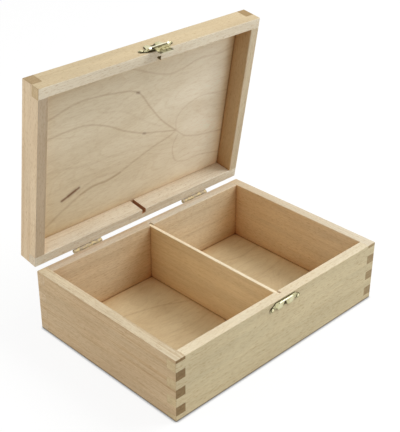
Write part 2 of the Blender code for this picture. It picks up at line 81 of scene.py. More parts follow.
FRONT_LOW, FRONT_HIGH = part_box("base_front")
HALF_LENGTH = FRONT_HIGH.x
HALF_WIDTH = -FRONT_LOW.y
WALL = FRONT_HIGH.y - FRONT_LOW.y
INNER_X = HALF_LENGTH - WALL
INNER_Y = HALF_WIDTH - WALL
BASE_TOP = FRONT_HIGH.z
LID_LOW, LID_HIGH = shut_box("lid_front")
LID_BOTTOM = LID_LOW.z
LID_TOP = LID_HIGH.z
FLOOR_LOW, FLOOR_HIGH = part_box("base_floor")
PANEL = FLOOR_HIGH.z - FLOOR_LOW.z
DIVIDER_LOW, DIVIDER_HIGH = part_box("divider")
DIVIDER = DIVIDER_HIGH.x - DIVIDER_LOW.x

# Joints, edges and gaps of the visible wood

REBATE = 0.0035
DADO_DEPTH = 0.0030
DADO_PLAY = 0.00015
FINGER = 0.0060
FIRST_FINGER = 0.0040
LAST_FINGER = 1.5 * FINGER
SAW_CUT = 0.0040
JOINT_GAP = 0.00005
SEAT_GAP = 0.00012
OVERLAP = 0.00001
ARRIS = 0.0005
ARRIS_SEGMENTS = 3
DIVIDER_ARRIS = 0.0006
DIVIDER_ARRIS_SEGMENTS = 4
ROUND = 0.5
RIM_EASE = 0.00035
MARGIN = 0.004
PANEL_CELL = 0.0007
WOOD_SHARP = 40
METAL_SHARP = 35
FLAT_WEIGHT = 100
NO_LENGTH = 1e-12


def link(name, mesh, matrix=None):
    obj = bpy.data.objects.new(name, mesh)
    bpy.context.scene.collection.objects.link(obj)
    if matrix:
        obj.matrix_world = matrix
    return obj


def mesh_from(name, shape):
    mesh = bpy.data.meshes.new(name)
    shape.to_mesh(mesh)
    shape.free()
    return mesh


def block(low, high):
    """A plain block between two corners."""
    shape = bmesh.new()
    low = Vector(low)
    high = Vector(high)
    fit = Matrix.Translation((low + high) / 2) @ Matrix.Diagonal((*(high - low), 1))
    bmesh.ops.create_cube(shape, size=1, matrix=fit)
    return shape


def round_edges(shape, edges, offset, segments):
    bmesh.ops.bevel(shape, geom=edges, offset=offset, segments=segments, profile=ROUND, affect="EDGES")


def close_rows(shape, rows):
    """Joins each row of points to the next with faces all round."""
    count = len(rows[0])
    for row, following in zip(rows, rows[1:]):
        for index in range(count):
            after = (index + 1) % count
            shape.faces.new((row[index], row[after], following[after], following[index]))


def skin_mesh(name, rows):
    """A closed solid over rows of points, with a flat face at each end."""
    shape = bmesh.new()
    rows = [[shape.verts.new(point) for point in row] for row in rows]
    shape.faces.new(rows[0])
    shape.faces.new(rows[-1])
    close_rows(shape, rows)
    bmesh.ops.recalc_face_normals(shape, faces=shape.faces)
    return mesh_from(name, shape)


def rectangle(half_x, half_y, height):
    corners = ((-1, -1), (1, -1), (1, 1), (-1, 1))
    return [(x * half_x, y * half_y, height) for x, y in corners]


def drawn_out(name, outline, depths, axis):
    """A solid with this outline, drawn out between two depths along X, Y or Z, counted 0, 1 and 2."""
    return skin_mesh(name, [[(*point[:axis], depth, *point[axis:]) for point in outline] for depth in depths])


def combine(name, mesh, other, operation):
    """A new mesh: the first one joined with, cut by or kept inside the other."""
    obj = link(name, mesh)
    tool = link(f"{name}_tool", other)
    modifier = obj.modifiers.new("tool", "BOOLEAN")
    modifier.operation = operation
    modifier.solver = "EXACT"
    modifier.object = tool
    graph = bpy.context.evaluated_depsgraph_get()
    result = bpy.data.meshes.new_from_object(obj.evaluated_get(graph))
    result.name = name
    bpy.data.objects.remove(obj)
    bpy.data.objects.remove(tool)
    return result


def smooth(mesh, angle=WOOD_SHARP):
    mesh.shade_smooth()
    mesh.set_sharp_from_angle(angle=math.radians(angle))


# Boards


def ring_mesh(name, bottom, top, rim, seat):
    """The four boards as one ring, with eased edges, a rebate for the panel and two dados."""
    shape = block((-HALF_LENGTH, -HALF_WIDTH, bottom), (HALF_LENGTH, HALF_WIDTH, top))
    round_edges(shape, shape.edges[:], ARRIS, ARRIS_SEGMENTS)
    away = 1 if rim > seat else -1
    ledge = seat + away * (PANEL + SEAT_GAP)
    rim_x = INNER_X + 2 * RIM_EASE
    rim_y = INNER_Y + 2 * RIM_EASE
    loops = [
        (INNER_X + REBATE, INNER_Y + REBATE, seat - away * MARGIN),
        (INNER_X + REBATE, INNER_Y + REBATE, ledge),
        (INNER_X, INNER_Y, ledge),
        (INNER_X, INNER_Y, rim - away * RIM_EASE),
        (rim_x, rim_y, rim + away * RIM_EASE),
        (rim_x, rim_y, rim + away * MARGIN),
    ]
    hollow = skin_mesh("hollow", [rectangle(*loop) for loop in loops])
    ring = combine(name, mesh_from(name, shape), hollow, "DIFFERENCE")
    ends = (seat + away * PANEL / 2, rim + away * MARGIN)
    slot = [rectangle(DIVIDER / 2 + DADO_PLAY, INNER_Y + DADO_DEPTH, height) for height in ends]
    return combine(name, ring, skin_mesh("dado", slot), "DIFFERENCE")


def finger_bands(low, high, shift, end_board):
    """Stretches of height that this board's own fingers fill, between two heights on the unsawn box."""
    whole = BASE_TOP + SAW_CUT + (LID_TOP - LID_BOTTOM)
    heights = [-MARGIN, FIRST_FINGER]
    while whole - heights[-1] > LAST_FINGER:
        heights.append(heights[-1] + FINGER)
    heights.append(whole + MARGIN)
    bands = []
    for index, (bottom, top) in enumerate(zip(heights, heights[1:])):
        bottom += JOINT_GAP / 2
        top -= JOINT_GAP / 2
        if (index % 2 == 1) == end_board and top > low and bottom < high:
            bottom = bottom if bottom > low else low - MARGIN
            top = top if top < high else high + MARGIN
            bands.append((bottom + shift, top + shift))
    return bands


def comb_outline(body, reach, low, high, bands):
    """Outline of a board seen from its face, with fingers at both ends."""
    side = [(body, low - MARGIN)]
    for bottom, top in bands:
        side += [(body, bottom), (reach, bottom), (reach, top), (body, top)]
    side.append((body, high + MARGIN))
    right = []
    for point in side:
        if not right or (Vector(point) - Vector(right[-1])).length > OVERLAP:
            right.append(point)
    left = [(-across, height) for across, height in reversed(right)]
    return right + left


ALONG_Y = Matrix.Rotation(math.radians(90), 4, "Z")


def boards(owner, bottom, top, rim, seat, sawn_low):
    """Four boards cut from one ring, each with its grain along its own X axis."""
    ring = ring_mesh(owner, bottom, top, rim, seat)
    shift = bottom - sawn_low
    sawn_high = sawn_low + top - bottom
    pieces = {}
    for side, end_board in (("front", False), ("back", False), ("left", True), ("right", True)):
        face = -1 if side in ("front", "left") else 1
        bands = finger_bands(sawn_low, sawn_high, shift, end_board)
        body, reach, near, far = INNER_X, HALF_LENGTH, INNER_Y, HALF_WIDTH
        if end_board:
            body, reach, near, far = INNER_Y, HALF_WIDTH, INNER_X, HALF_LENGTH
        outline = comb_outline(body - OVERLAP - JOINT_GAP, reach + MARGIN, bottom, top, bands)
        depths = (face * (near - OVERLAP), face * (far + MARGIN))
        comb = drawn_out("comb", outline, depths, 0 if end_board else 1)
        node = f"{owner}_{side}"
        mesh = combine(f"{node}_board", ring.copy(), comb, "INTERSECT")
        pieces[side] = finish_board(mesh, node, owner, end_board)
    bpy.data.meshes.remove(ring)
    return pieces


def finish_board(mesh, node, body, end_board):
    """Puts a board into place, with its grain along its own X axis and its large faces flat-shaded."""
    grain = ALONG_Y if end_board else Matrix()
    mesh.transform(grain.inverted())
    smooth(mesh)
    piece = link(f"{node}_board", mesh, OPEN @ grain if body == "lid" else grain)
    modifier = piece.modifiers.new("flat faces", "WEIGHTED_NORMAL")
    modifier.keep_sharp = True
    modifier.weight = FLAT_WEIGHT
    return dress(piece, node, body)


def dress(piece, node, body):
    bpy.context.view_layer.update()
    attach(piece, body)
    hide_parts(node)
    return piece


# Panels: fine grids that carry the veneer's growth lines


def curve_through(points, count=8):
    """Points on a smooth curve through the given ones, as many to each stretch as count says."""
    points = [Vector(point) for point in points]
    padded = [2 * points[0] - points[1], *points, 2 * points[-1] - points[-2]]
    path = []
    for before, start, end, after in zip(padded, padded[1:], padded[2:], padded[3:]):
        speed = end - before
        bend = 2 * before - 5 * start + 4 * end - after
        twist = 3 * start - before - 3 * end + after
        for index in range(count):
            t = index / count
            path.append(0.5 * (2 * start + speed * t + bend * t * t + twist * t * t * t))
    path.append(points[-1])
    return path


def panel_mesh(name, half_x, half_y, bottom, top, cell):
    """A thin panel whose two faces are fine grids."""
    count_x = round(2 * half_x / cell)
    count_y = round(2 * half_y / cell)
    across = np.linspace(-half_x, half_x, count_x + 1)
    along = np.linspace(-half_y, half_y, count_y + 1)
    verts = [(x, y, height) for height in (bottom, top) for y in along for x in across]
    row = count_x + 1
    layer = row * (count_y + 1)
    faces = []
    for j in range(count_y):
        for i in range(count_x):
            a = j * row + i
            faces.append((a, a + row, a + row + 1, a + 1))
            faces.append((layer + a, layer + a + 1, layer + a + row + 1, layer + a + row))
    rim = [*range(count_x), *range(count_x, layer - 1, row)]
    rim += [*range(layer - 1, layer - row, -1), *range(layer - row, 0, -row)]
    for a, b in zip(rim, rim[1:] + rim[:1]):
        faces.append((a, b, layer + b, layer + a))
    mesh = bpy.data.meshes.new(name)
    mesh.from_pydata(verts, [], faces)
    return mesh


def points_of(mesh):
    """The places of a mesh's points, as three rows of numbers."""
    places = np.empty(3 * len(mesh.vertices), dtype=np.float32)
    mesh.vertices.foreach_get("co", places)
    return places.astype(float).reshape(-1, 3).T


def from_segment(x, y, start, end):
    """How far points are from the straight segment between two others."""
    run_x = end[0] - start[0]
    run_y = end[1] - start[1]
    share = ((x - start[0]) * run_x + (y - start[1]) * run_y) / max(run_x**2 + run_y**2, NO_LENGTH)
    share = np.clip(share, 0, 1)
    return np.hypot(x - start[0] - share * run_x, y - start[1] - share * run_y)


def paint(mesh, attribute, domain, values):
    mesh.attributes.new(attribute, "FLOAT", domain).data.foreach_set("value", values)


def paint_lines(mesh, attribute, side_height, curves):
    """Writes how strongly the curves mark each point of one face."""
    x, y, height = points_of(mesh)
    face = abs(height - side_height) < OVERLAP
    marks = np.zeros(len(x))
    for points, half_width, strength in curves:
        path = curve_through([(right * MM, back * MM) for right, back in points])
        for start, end in zip(path, path[1:]):
            far = from_segment(x[face], y[face], start, end) / (half_width * MM)
            marks[face] = np.maximum(marks[face], strength * np.exp(-far * far))
    paint(mesh, attribute, "POINT", marks)


# Lines on the panels: points (millimetres from the middle to the right and to the back), half-width and
# strength

LID_LINES = [
    (
        [(-80, -28), (-70, -30), (-55, -34), (-42, -35), (-23, -33), (-3, -28), (9, -14), (21, 0), (35, 12)],
        0.55,
        0.52,
    ),
    (
        [(-80, -15), (-69, -17), (-54, -18), (-41, -17), (-25, -11), (-11, -3), (5, 4), (20, 8), (35, 12)],
        0.55,
        0.50,
    ),
    ([(35, 12), (34, 4), (38, -2), (46, -6), (56, -8), (70, -6), (82, -5)], 0.5, 0.30),
    ([(35, 12), (44, 19), (57, 23), (71, 25), (82, 27)], 0.5, 0.40),
    ([(-29, 30), (-14, 28), (0, 23), (15, 18), (28, 15), (35, 12)], 0.6, 0.46),
    ([(-72, 47), (-67, 44.5), (-61, 40.7), (-53.4, 36.9), (-44.4, 32.3)], 0.9, 0.42),
    ([(-44.4, 32.3), (-34, 29.6), (-23, 29.8), (-12, 27.6)], 0.85, 0.70),
    ([(-47, 30.5), (-40, 26.5), (-32, 24.6), (-24, 25.0)], 0.8, 0.26),
    ([(37, 16), (34, 22), (34, 29), (38, 37), (47, 40), (59, 40), (74, 43), (82, 45)], 0.5, 0.36),
    ([(-12, -47), (-3, -43), (11, -37), (24, -33), (36, -34), (49, -37), (68, -36), (82, -38)], 0.6, 0.36),
    ([(-80, 6), (-60, 8), (-40, 12), (-20, 12), (0, 14), (14, 16)], 0.8, 0.16),
    ([(-80, 24), (-62, 22), (-44, 20), (-22, 21), (-4, 20)], 0.8, 0.14),
    ([(-30, -22), (-14, -18), (-2, -10), (10, -2), (22, 5)], 0.7, 0.15),
    ([(50, 4), (60, 2), (72, 4), (82, 6)], 0.8, 0.14),
    ([(-80, -42), (-60, -44), (-40, -45), (-20, -50)], 0.8, 0.18),
]
LID_KNOTS = [
    ([(-58.7, 31.2), (-55.4, 30.1), (-52.4, 28.8), (-45.5, 26.4)], 0.8, 1.0),
    ([(-54, 29.6), (-51, 28.4), (-48, 27.3)], 1.05, 1.0),
    ([(-3.2, -27.6), (-1.4, -27.2)], 0.8, 0.55),
    ([(5.2, 4.4), (7.0, 4.9)], 0.8, 0.50),
]
LID_OUTSIDE_LINES = [
    ([(-84, -14), (-50, -11), (-20, -6), (2, 0), (-18, 7), (-50, 11), (-84, 13)], 0.5, 0.36),
    ([(-84, -20), (-48, -17), (-12, -10), (18, -1), (-8, 11), (-48, 16), (-84, 18)], 0.5, 0.22),
    ([(-84, -27), (-45, -23), (-5, -14), (34, -1), (0, 15), (-45, 21), (-84, 24)], 0.5, 0.34),
    ([(-84, -39), (-30, -34), (20, -22), (64, -3), (22, 21), (-30, 31), (-84, 36)], 0.5, 0.36),
    ([(-84, -50), (-10, -45), (50, -31), (84, -19)], 0.5, 0.30),
    ([(-84, 47), (-10, 43), (50, 31), (84, 17)], 0.5, 0.32),
    ([(10, -52), (52, -43), (84, -34)], 0.5, 0.26),
    ([(26, 52), (58, 43), (84, 36)], 0.5, 0.28),
]
FLOOR_LINES = [
    ([(-80, 40), (-60, 36), (-45, 32), (-30, 28), (-21, 25), (-13, 22)], 0.5, 0.40),
    ([(-15, 22), (-9, 19), (-1, 15)], 0.5, 0.42),
    ([(-80, 2), (-60, 4), (-40, 0), (-20, -4), (0, -2)], 0.8, 0.18),
    ([(-80, -24), (-56, -20), (-30, -26), (0, -22)], 0.8, 0.18),
    ([(2, 38), (20, 34), (40, 36), (60, 30), (80, 32)], 0.6, 0.30),
    ([(2, 6), (24, 10), (48, 4), (80, 8)], 0.8, 0.20),
]


def panel(node, body, bottom, top, matrix, painted):
    """A thin panel, with lines on it that are given as an attribute, the height of the face and curves."""
    half_x = INNER_X + REBATE - SEAT_GAP
    half_y = INNER_Y + REBATE - SEAT_GAP
    mesh = panel_mesh(f"{node}_board", half_x, half_y, bottom, top, PANEL_CELL)
    for attribute, height, curves in painted:
        paint_lines(mesh, attribute, height, curves)
    return dress(link(f"{node}_board", mesh, matrix), node, body)


def divider():
    """The thin board between the compartments, with its upper edges rounded."""
    shape = block(DIVIDER_LOW, DIVIDER_HIGH)
    middle = (DIVIDER_LOW.z + DIVIDER_HIGH.z) / 2
    upper = [edge for edge in shape.edges if all(vert.co.z > middle for vert in edge.verts)]
    round_edges(shape, upper, DIVIDER_ARRIS, DIVIDER_ARRIS_SEGMENTS)
    return finish_board(mesh_from("divider_board", shape), "divider", "base", True)


# Clasp: drawn along u, up v from the seam and out from the wood w, in millimetres

SEAM = (BASE_TOP + LID_BOTTOM) / 2
CLASP_PLACE = Matrix.Translation((0, -HALF_WIDTH, SEAM)) @ Matrix.Rotation(math.pi / 2, 4, "X")
UPSIDE_DOWN = Matrix.Diagonal((1, -1, 1, 1))
FLAP_AXIS = (OPEN @ CLASP_PLACE).inverted() @ Vector(JOINTS["clasp_flap_hinge"]["pos_m"]) * PER_METRE
PLATE_BACK = 0.1
PLATE_FACE = 0.7
PLATE_CELL = 0.16
PLATE_REACH = 14.4
SLAB_MARGIN = 0.6
CUT_THROUGH = (-3, 4)
EDGE_ROUND = 0.22
EDGE_DROP = 0.16
NAIL_SPREAD = 11.2
NAIL_HOLE = 0.5
NAIL_SEAT = (1.15, 1.65)
NAIL_SEAT_DEPTH = 0.30
NAIL_RING = (0.20, 0.45)
EAR = 1.9
EAR_CREASE = (0.10, 0.50)
CREASE_RISE = (0.2, 1.2)
CUT_FACING = (0.12, 0.42)
HEEL = (8.4, 1.1)
WAIST = 10.1
LOBE_SPREAD = 5.6
PILLOW_MIDDLE = (0.92, 0.62)
PILLOW_SIZE = (3.4, 0.42)
PILLOW_RISE = 0.32
VALLEY_HALF_WIDTH = 0.55
VALLEY_FLARE = 0.42
VALLEY_DEPTH = 0.42
VALLEY_LEAST = 0.05
VALLEY_OPENS = (-0.3, 0.5)
VALLEY_SIDES = (0.7, 1.3)
SHINE = (0.85, 1.0)
BRIGHT_SHINE = (1.05, 1.25)
PLATE_CURVE_STEPS = 14
KNUCKLE = 0.85
LUG_BACK = 0.4
LUG_RISE = 0.98
LUG_INNER = 6.1
LUG_OUTER = 8.0
PIN_BORE = 0.46
LIP_HALF_LENGTH = 5.9
LIP_MIDDLE = (2.075, 0.775)
LIP_RADIUS = 0.525
ROD_SIDES = 40
ROD_EASE = 0.3
ROD_EASE_SEGMENTS = 3


def wing_outline(nail_height, lobe, notch):
    """The plate's outline: straight by the seam, an ear at each end and two lobes with a notch between."""
    half = [
        (*HEEL, "VECTOR"),
        (WAIST, nail_height / 2, "AUTO"),
        (NAIL_SPREAD + EAR, nail_height, "AUTO"),
        (NAIL_SPREAD, nail_height + EAR, "AUTO"),
        ((NAIL_SPREAD + LOBE_SPREAD) / 2, nail_height, "AUTO"),
        (LOBE_SPREAD, lobe, "AUTO"),
    ]
    points = [*half, (0, notch, "VECTOR"), *((-across, up, handle) for across, up, handle in reversed(half))]
    curve = bpy.data.curves.new("wing", "CURVE")
    curve.dimensions = "2D"
    curve.resolution_u = PLATE_CURVE_STEPS
    spline = curve.splines.new("BEZIER")
    spline.bezier_points.add(len(points) - 1)
    spline.use_cyclic_u = True
    for point, (across, up, handle) in zip(spline.bezier_points, points):
        point.co = (across, up, 0)
        point.handle_left_type = handle
        point.handle_right_type = handle
    drawn = link("wing", curve)
    graph = bpy.context.evaluated_depsgraph_get()
    outline = [(vert.co.x, vert.co.y) for vert in drawn.evaluated_get(graph).to_mesh().vertices]
    bpy.data.objects.remove(drawn)
    return outline


def rise(value, low, high):
    """A smooth rise from 0 to 1."""
    t = np.clip((value - low) / (high - low), 0, 1)
    return t * t * (3 - 2 * t)


class Wing:
    """The stamped relief of one plate, and where it is tarnished and painted with shade, and polished and
    painted with highlight.
    """

    def __init__(self, nail_height, lobe, notch, valley_top):
        self.outline = wing_outline(nail_height, lobe, notch)
        self.nail_height = nail_height
        self.lobe = lobe
        self.valley_top = valley_top

    def pillow(self, u, v):
        """The swelling of the two lobes."""
        across = (abs(u) - LOBE_SPREAD * PILLOW_MIDDLE[0]) / PILLOW_SIZE[0]
        up = (v - self.lobe * PILLOW_MIDDLE[1]) / (self.lobe * PILLOW_SIZE[1])
        return np.maximum(0, 1 - across * across - up * up)

    def valley(self, u, v):
        """The hollow between the lobes, which widens away from the seam."""
        half_width = np.maximum(VALLEY_LEAST, VALLEY_HALF_WIDTH + VALLEY_FLARE * (v - self.valley_top))
        opening = rise(v, *(self.valley_top + part for part in VALLEY_OPENS))
        return opening * (1 - rise(abs(u), *(half_width * part for part in VALLEY_SIDES)))

    def nail_distance(self, u, v):
        return np.hypot(abs(u) - NAIL_SPREAD, v - self.nail_height)

    def height(self, u, v):
        """How far the face stands out from the wood."""
        out = PLATE_FACE + PILLOW_RISE * self.pillow(u, v)
        out -= VALLEY_DEPTH * self.valley(u, v)
        out -= NAIL_SEAT_DEPTH * (1 - rise(self.nail_distance(u, v), *NAIL_SEAT))
        edges = zip(self.outline, self.outline[1:] + self.outline[:1])
        edge = np.min([from_segment(u, v, start, end) for start, end in edges], axis=0)
        return out - EDGE_DROP * np.maximum(0, 1 - edge / EDGE_ROUND) ** 2

    def tarnish_and_shade(self, u, v, w):
        """Painted shade with the tarnished colour, strongest in the valley, round the nails and in the crease
        beside each ear.
        """
        ring = 1 - rise(abs(self.nail_distance(u, v) - NAIL_SEAT[0]), *NAIL_RING)
        crease = rise(v, *CREASE_RISE) * (1 - rise(abs(abs(u) - NAIL_SPREAD + EAR), *EAR_CREASE))
        return np.maximum.reduce([self.valley(u, v), 0.95 * ring, 0.55 * crease])

    def polish_and_highlight(self, u, v, w):
        """Painted highlight with the polished colour, strongest on what stands out furthest."""
        return np.maximum(0.25 * rise(w, *SHINE), rise(w, *BRIGHT_SHINE))


def rod_mesh(start, end, radius):
    """A round rod between two points, with its ends eased."""
    run = Vector(end) - Vector(start)
    turn = run.to_track_quat("Z", "Y").to_matrix().to_4x4()
    place = Matrix.Translation((Vector(start) + Vector(end)) / 2) @ turn
    sizes = {"radius1": radius, "radius2": radius, "depth": run.length}
    shape = bmesh.new()
    bmesh.ops.create_cone(shape, cap_ends=True, segments=ROD_SIDES, matrix=place, **sizes)
    rings = [edge for edge in shape.edges if any(len(face.verts) > 4 for face in edge.link_faces)]
    round_edges(shape, rings, radius * ROD_EASE, ROD_EASE_SEGMENTS)
    return mesh_from("rod", shape)


def cut_plate(name, wing):
    """A plate: a slab with the relief on its face, a little larger than the outline, cut along it."""
    top = max(v for _, v in wing.outline) + SLAB_MARGIN
    slab = panel_mesh("slab", PLATE_REACH, (top + SLAB_MARGIN) / 2, PLATE_BACK, PLATE_FACE, PLATE_CELL)
    u, v, w = points_of(slab)
    v += (top - SLAB_MARGIN) / 2
    w = np.where(w > PLATE_BACK + OVERLAP, wing.height(u, v), w)
    slab.vertices.foreach_set("co", np.stack((u, v, w), axis=1).ravel())
    slab.update()
    return combine(name, slab, drawn_out("wing", wing.outline, CUT_THROUGH, 2), "INTERSECT")


def drill(name, mesh, across, up, radius):
    """Two round holes through a sheet, one on each side of the middle."""
    for side in (-1, 1):
        start, end = ((side * across, up, depth) for depth in CUT_THROUGH)
        mesh = combine(name, mesh, rod_mesh(start, end, radius), "DIFFERENCE")
    return mesh


def paint_metal(mesh, tarnish_and_shade, polish_and_highlight):
    """Writes where the metal takes painted shade with its tarnished colour and painted highlight with its
    polished colour, and which faces are cut edges.
    """
    places = points_of(mesh)
    paint(mesh, "tarnish_and_shade", "POINT", tarnish_and_shade(*places))
    paint(mesh, "polish_and_highlight", "POINT", polish_and_highlight(*places))
    facing = np.array([abs(face.normal.z) for face in mesh.polygons])
    paint(mesh, "cut", "FACE", 1 - rise(facing, *CUT_FACING))


def finish_metal(name, mesh, place, node, body):
    """Puts a piece drawn in millimetres into its place."""
    mesh.transform(place @ Matrix.Scale(MM, 4))
    if place.determinant() < 0:
        mesh.flip_normals()
    smooth(mesh, METAL_SHARP)
    return dress(link(name, mesh), node, body)


def keeper_sheet():
    """The plate on the base, with the round lip that the flap hooks under."""
    wing = Wing(nail_height=4.6, lobe=6.9, notch=5.6, valley_top=2.9)
    mesh = cut_plate("keeper_sheet", wing)
    lip = rod_mesh((-LIP_HALF_LENGTH, *LIP_MIDDLE), (LIP_HALF_LENGTH, *LIP_MIDDLE), LIP_RADIUS)
    mesh = combine("keeper_sheet", mesh, lip, "UNION")
    mesh = drill("keeper_sheet", mesh, NAIL_SPREAD, wing.nail_height, NAIL_HOLE)
    paint_metal(mesh, wing.tarnish_and_shade, wing.polish_and_highlight)
    return finish_metal("keeper_sheet", mesh, CLASP_PLACE @ UPSIDE_DOWN, "clasp_keeper", "base")


def lid_sheet():
    """The plate on the lid, with a knuckle on a lug at each end of the flap."""
    wing = Wing(nail_height=3.7, lobe=8.2, notch=6.9, valley_top=3.2)
    mesh = cut_plate("lid_sheet", wing)
    axis = (FLAP_AXIS.y, FLAP_AXIS.z)
    for side in (-1, 1):
        start, end = sorted((side * LUG_INNER, side * LUG_OUTER))
        lug = block((start, axis[0], LUG_BACK), (end, axis[0] + KNUCKLE * LUG_RISE, axis[1]))
        mesh = combine("lid_sheet", mesh, mesh_from("lug", lug), "UNION")
        mesh = combine("lid_sheet", mesh, rod_mesh((start, *axis), (end, *axis), KNUCKLE), "UNION")
    mesh = drill("lid_sheet", mesh, NAIL_SPREAD, wing.nail_height, NAIL_HOLE)
    bore = rod_mesh((-PLATE_REACH, *axis), (PLATE_REACH, *axis), PIN_BORE)
    mesh = combine("lid_sheet", mesh, bore, "DIFFERENCE")
    paint_metal(mesh, wing.tarnish_and_shade, wing.polish_and_highlight)
    return finish_metal("lid_sheet", mesh, OPEN @ CLASP_PLACE, "clasp_lid_plate", "lid")


FLAP_HALF_WIDTH = 5.9
FLAP_END_HALF_WIDTH = 5.1
FLAP_REACH = 8.2
FLAP_EYE = (4.2, 6.9)
FLAP_EYE_RADIUS = 0.6
FLAP_THICKNESS = 0.44
FLAP_EDGE_SHARE = 0.45
FLAP_EDGE = 0.25
FLAP_CORNER = 0.9
FLAP_CORNER_ROUND = 0.75
FLAP_ROLL = 0.63
FLAP_ROLL_DEGREES = 250
FLAP_ROLL_STEPS = 24
FLAP_PATH = [(1.0, 0.60), (2.2, 0.46), (3.3, 0.16), (4.1, -0.10), (4.8, -0.30), (5.6, -0.37), (6.6, -0.36)]
FLAP_END = [(7.6, -0.32), (FLAP_REACH, -0.22)]
FLAP_ACROSS = 48
FLAP_PATH_STEPS = 4
FLAP_GROOVE = (3.7, 0.15, 0.55)
FLAP_HOLLOW = (5.7, 0.20, 0.60)
FLAP_EYE_RING = (0.7, 1.15)
FLAP_NECK = ((0.55, 0.95), (1.5, 2.4))
FLAP_BODY = (0.5, 1.2)
FLAP_ROLL_SHINE = (0.35, 0.7)
FLAP_END_SHINE = (FLAP_REACH - 0.5, FLAP_REACH - 0.1)


def flap_path():
    """The middle of the sheet, from roll to flared end: how far below its axis and how far out."""
    roll = []
    for index in range(FLAP_ROLL_STEPS + 1):
        angle = math.radians(FLAP_ROLL_DEGREES - index * FLAP_ROLL_DEGREES / FLAP_ROLL_STEPS)
        roll.append(Vector((-FLAP_ROLL * math.sin(angle), FLAP_ROLL * math.cos(angle))))
    return roll + curve_through([roll[-1], *FLAP_PATH, *FLAP_END], FLAP_PATH_STEPS)[1:]


def flap_tarnish_and_shade(u, v, w):
    """Painted shade with the tarnished colour, strongest round the eyes and at the neck, and there in the
    groove and the hollow.
    """
    groove, hollow = (1 - rise(abs(-v - at), *span) for at, *span in (FLAP_GROOVE, FLAP_HOLLOW))
    eye = 1 - rise(np.hypot(abs(u) - FLAP_EYE[0], v + FLAP_EYE[1]), *FLAP_EYE_RING)
    neck = rise(-v, *FLAP_NECK[0]) * (1 - rise(-v, *FLAP_NECK[1]))
    body = rise(-v, *FLAP_BODY)
    return np.maximum.reduce([0.25 * body, 0.45 * groove, 0.45 * hollow, 0.95 * eye, 0.80 * neck])


def flap_polish_and_highlight(u, v, w):
    """Painted highlight with the polished colour, strongest on the roll and at the flared end."""
    return np.maximum(1 - rise(-v, *FLAP_ROLL_SHINE), 0.8 * rise(-v, *FLAP_END_SHINE))


def flap_sheet():
    """The flap, bent from one sheet: rolled round its pin, with a bead that hooks under the lip."""
    middle = flap_path()
    runs = [(after - before).normalized() for before, after in zip(middle, middle[1:])]
    runs = [runs[0], *((first + second).normalized() for first, second in zip(runs, runs[1:])), runs[-1]]
    shape = bmesh.new()
    rows = []
    for column in range(FLAP_ACROSS + 1):
        share = 2 * column / FLAP_ACROSS - 1
        from_edge = (1 - abs(share)) * FLAP_HALF_WIDTH
        fullness = math.sqrt(1 - (1 - min(1.0, from_edge / FLAP_EDGE)) ** 2)
        thick = FLAP_THICKNESS * (FLAP_EDGE_SHARE + (1 - FLAP_EDGE_SHARE) * fullness) / 2
        row = []
        for point, run in zip(middle, runs):
            taper = max(0.0, point.x) / FLAP_REACH
            corner = max(0.0, point.x - FLAP_REACH + FLAP_CORNER)
            half_width = FLAP_HALF_WIDTH * (1 - taper) + FLAP_END_HALF_WIDTH * taper
            half_width -= FLAP_CORNER_ROUND * corner * corner
            row.append((share * half_width, point, Vector((-run.y, run.x)) * thick))
        front = [shape.verts.new((u, -(point.x + out.x), point.y + out.y)) for u, point, out in row]
        rear = [shape.verts.new((u, -(point.x - out.x), point.y - out.y)) for u, point, out in reversed(row)]
        rows.append(front + rear)
    close_rows(shape, rows)
    count = len(rows[0])
    for row in (rows[0], rows[-1]):
        for index in range(count // 2 - 1):
            shape.faces.new((row[index], row[index + 1], row[count - 2 - index], row[count - 1 - index]))
    bmesh.ops.recalc_face_normals(shape, faces=shape.faces)
    mesh = mesh_from("flap_sheet", shape)
    mesh = drill("flap_sheet", mesh, FLAP_EYE[0], -FLAP_EYE[1], FLAP_EYE_RADIUS)
    paint_metal(mesh, flap_tarnish_and_shade, flap_polish_and_highlight)
    place = OPEN @ CLASP_PLACE @ Matrix.Translation(FLAP_AXIS * MM)
    return finish_metal("flap_sheet", mesh, place, "clasp_flap", "flap")


# Materials


